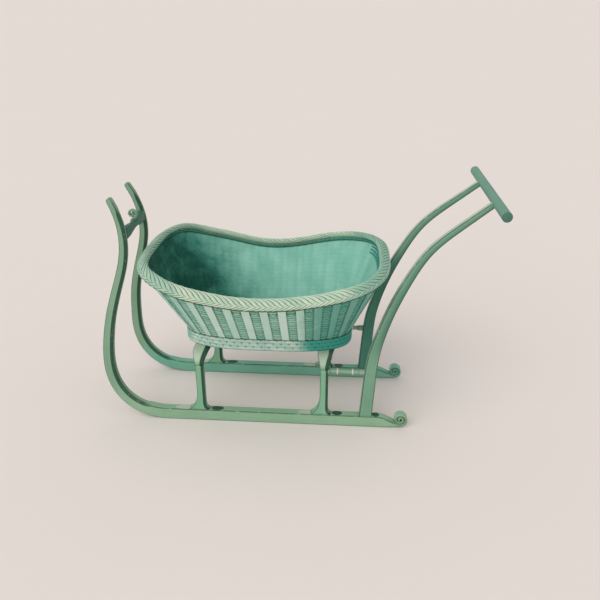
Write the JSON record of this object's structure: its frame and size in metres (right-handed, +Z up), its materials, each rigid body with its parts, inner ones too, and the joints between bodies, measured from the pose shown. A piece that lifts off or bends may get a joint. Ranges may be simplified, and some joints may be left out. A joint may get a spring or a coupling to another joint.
{
  "type": "children's push sled with wicker basket",
  "caption": "Wooden push sled with raised curved horns, rolled tails, a boat-shaped wicker basket on posts and yokes, and two arms with a cross grip.",
  "frame": {"origin": "on the snow, at the middle of the length and width", "axes": "+X backwards to the push grip, +Y to the sled's right, +Z up"},
  "size_m": [1.3981, 0.6655, 0.8905],
  "materials": {
    "painted_wood": "satin green paint on wood",
    "wicker_wall": "woven willow, green stain",
    "wicker_slat": "flat split slats, pale green stain",
    "wicker_border": "plaited willow, pale green"
  },
  "bodies": {
    "root": {"runner_left": "painted_wood", "runner_right": "painted_wood", "front_post_left": "painted_wood", "front_post_right": "painted_wood", "rear_post_left": "painted_wood", "rear_post_right": "painted_wood", "handle_arm_left": "painted_wood", "handle_arm_right": "painted_wood", "side_rail_left": "painted_wood", "side_rail_right": "painted_wood", "push_grip": "painted_wood", "front_yoke": "painted_wood", "rear_yoke": "painted_wood", "horn_crossbar": "painted_wood", "crossbar_scroll": "painted_wood", "basket_foot": "wicker_border", "basket_floor": "wicker_wall", "basket_wall": "wicker_wall", "basket_border": "wicker_border", "basket_stakes": "wicker_slat"}
  },
  "joints": []
}
